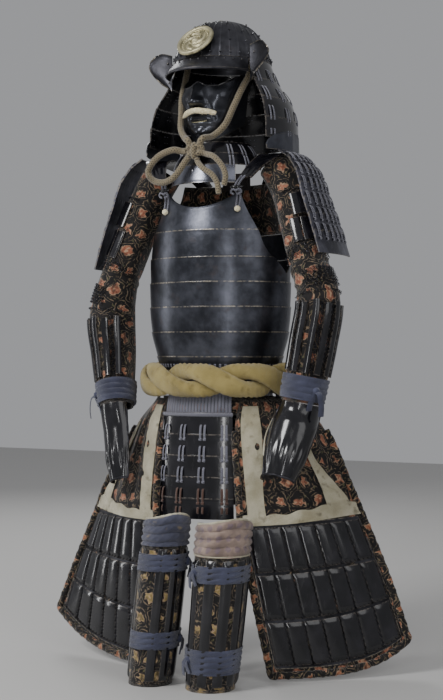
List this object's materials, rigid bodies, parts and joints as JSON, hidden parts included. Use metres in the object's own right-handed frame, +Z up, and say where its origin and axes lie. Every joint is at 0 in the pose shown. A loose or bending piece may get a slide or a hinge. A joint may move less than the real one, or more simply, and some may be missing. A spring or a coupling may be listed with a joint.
{
  "type": "samurai armour with standing shin guards",
  "caption": "Hollow suit of lacquered plate and brocade with riveted helmet, half mask, laced shoulder guards, twisted belt, thigh apron and free-standing shin guards.",
  "frame": {"origin": "between the shoulders, on the suit centre line, where the wearer holds the suit up", "axes": "+Z up, the suit faces -Y, +X is the wearer's left; the floor under the shin guards is at z = -1.225 m"},
  "size_m": [0.9107, 0.532, 1.5679],
  "materials": {
    "lacquer": "glossy black lacquer over plates, paler on worn edges",
    "iron": "dark polished iron with a russet-black patina, bright on worn edges",
    "brass": "dull aged brass",
    "hair": "cream horse hair",
    "cord": "braided olive-brown silk cord",
    "lacing": "flat grey silk lacing, faded",
    "brocade": "black brocade with woven flowers and scrolls, slight sheen",
    "belt": "matt ochre cotton, padded",
    "indigo": "faded indigo cotton",
    "quilt": "quilted printed cotton, pinkish brown",
    "cream_cloth": "mottled cream woven cloth",
    "mail": "blackened iron rings"
  },
  "bodies": {
    "root": {"helmet_bowl": "iron", "helmet_visor": "iron", "helmet_disc": "brass", "neck_guard_1": "lacquer", "neck_guard_2": "lacquer", "neck_guard_3": "lacquer", "neck_guard_4": "lacquer", "turnback_left": "iron", "turnback_right": "iron", "face_mask": "lacquer", "moustache": "hair", "throat_guard_lames": "lacquer", "throat_guard_plate": "iron", "chin_cord_left": "cord", "chin_cord_right": "cord", "chin_knot": "cord", "chin_loop": "cord", "chin_tail_upper": "cord", "chin_tail_lower": "cord", "cuirass_top_plate": "iron", "cuirass_front": "iron", "cuirass_back": "iron", "shoulder_strap_left": "lacquer", "shoulder_strap_right": "lacquer", "toggle_cord_left": "lacing", "toggle_cord_right": "lacing", "standing_plate_left": "iron", "standing_plate_right": "iron", "shoulder_guard_left": "lacquer", "shoulder_guard_right": "lacquer", "sleeve_yoke": "brocade", "sleeve_left": "brocade", "sleeve_right": "brocade", "upper_arm_plate_left": "lacquer", "upper_arm_plate_right": "lacquer", "wrist_tie_left": "indigo", "wrist_tie_right": "indigo", "hand_guard_left": "lacquer", "hand_guard_right": "lacquer", "belt_strand_a": "belt", "belt_strand_b": "belt", "lacing_front": "lacing", "tasset_front": "lacquer", "tasset_left": "lacquer", "tasset_back_left": "lacquer", "tasset_back_right": "lacquer", "tasset_right": "lacquer", "apron_waistband": "brocade", "apron_left": "brocade", "apron_right": "brocade", "apron_plates_left": "lacquer", "apron_plates_right": "lacquer", "shin_guard_left": "brocade", "knee_flap_left": "quilt", "shin_tie_left_upper": "indigo", "shin_tie_left_lower": "indigo", "shin_guard_right": "brocade", "knee_flap_right": "quilt", "shin_tie_right_upper": "indigo", "shin_tie_right_lower": "indigo"}
  },
  "joints": []
}
